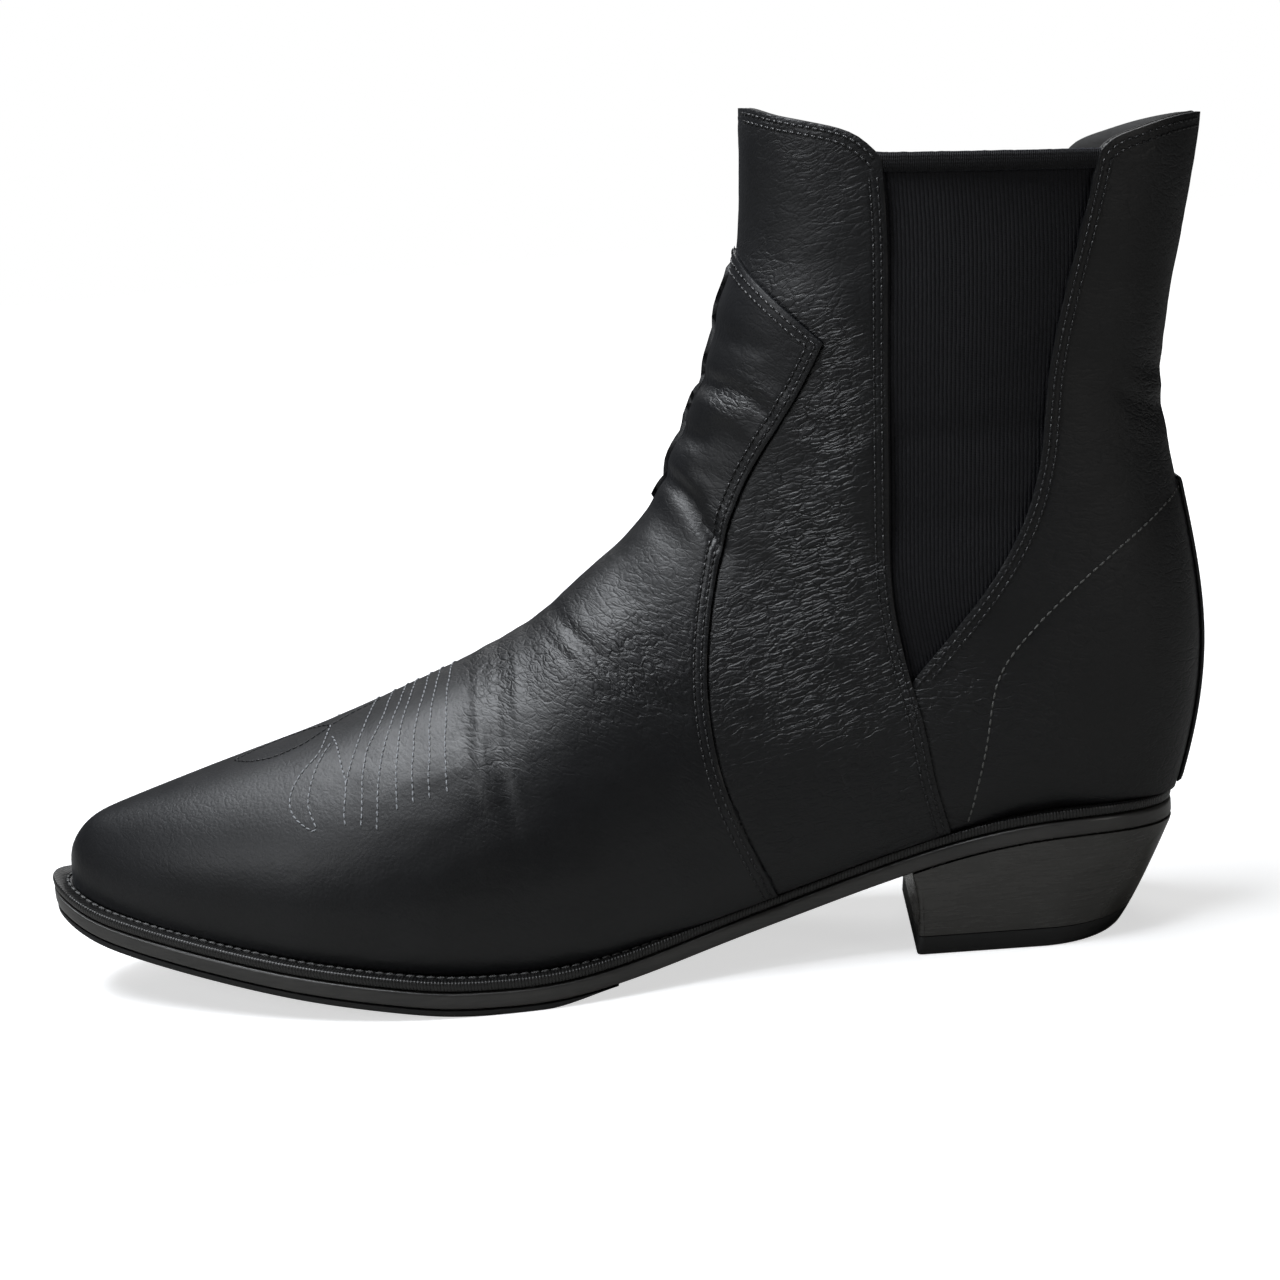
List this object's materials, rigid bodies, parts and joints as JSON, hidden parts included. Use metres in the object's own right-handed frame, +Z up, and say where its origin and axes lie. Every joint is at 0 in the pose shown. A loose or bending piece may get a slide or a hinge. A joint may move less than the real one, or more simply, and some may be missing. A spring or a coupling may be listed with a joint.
{
  "type": "ankle boot",
  "caption": "Left western ankle boot: pointed toe, low vamp with back-swept corners, elastic side gores, welted leather sole, stacked slanted heel.",
  "frame": {"origin": "middle of the boot's box in X and Y, on the ground", "axes": "+X from the heel to the toe, +Y to the wearer's left, which is the outer side of this left boot, +Z up"},
  "size_m": [0.325, 0.107, 0.2226],
  "materials": {
    "upper_leather": "satin black calf with fine grain and flex creases",
    "gore_elastic": "matt black ribbed elastic webbing",
    "lining_leather": "matt black lining leather",
    "stiffener_board": "matt fibreboard",
    "cork": "granular cork",
    "steel": "plain steel",
    "welt_leather": "black, wheeled and waxed",
    "sole_leather": "black inked edge, waxed",
    "heel_leather": "black inked and burnished stack",
    "sole_rubber": "matt black rubber",
    "thread": "waxed polyester thread"
  },
  "bodies": {
    "root": {"vamp": "upper_leather", "front_panel": "upper_leather", "rear_quarter_lateral": "upper_leather", "rear_quarter_medial": "upper_leather", "back_strip": "upper_leather", "gore_lateral": "gore_elastic", "gore_medial": "gore_elastic", "gore_binding_lateral": "gore_elastic", "gore_binding_medial": "gore_elastic", "heel_counter": "stiffener_board", "toe_puff": "stiffener_board", "vamp_lining": "lining_leather", "front_lining": "lining_leather", "quarter_lining_lateral": "lining_leather", "quarter_lining_medial": "lining_leather", "insole": "stiffener_board", "sock_liner": "lining_leather", "insole_rib": "stiffener_board", "cork_filler": "cork", "shank": "steel", "welt": "welt_leather", "heel_rand": "welt_leather", "outsole": "sole_leather", "half_sole": "sole_rubber", "heel_lift_1": "heel_leather", "heel_lift_2": "heel_leather", "heel_lift_3": "heel_leather", "heel_lift_4": "heel_leather", "heel_lift_5": "heel_leather", "heel_top_piece": "sole_rubber", "heel_nail_1": "steel", "heel_nail_2": "steel", "heel_nail_3": "steel", "heel_nail_4": "steel", "top_piece_pin_1": "steel", "top_piece_pin_2": "steel", "top_piece_pin_3": "steel", "top_piece_pin_4": "steel", "top_piece_pin_5": "steel"}
  },
  "joints": []
}
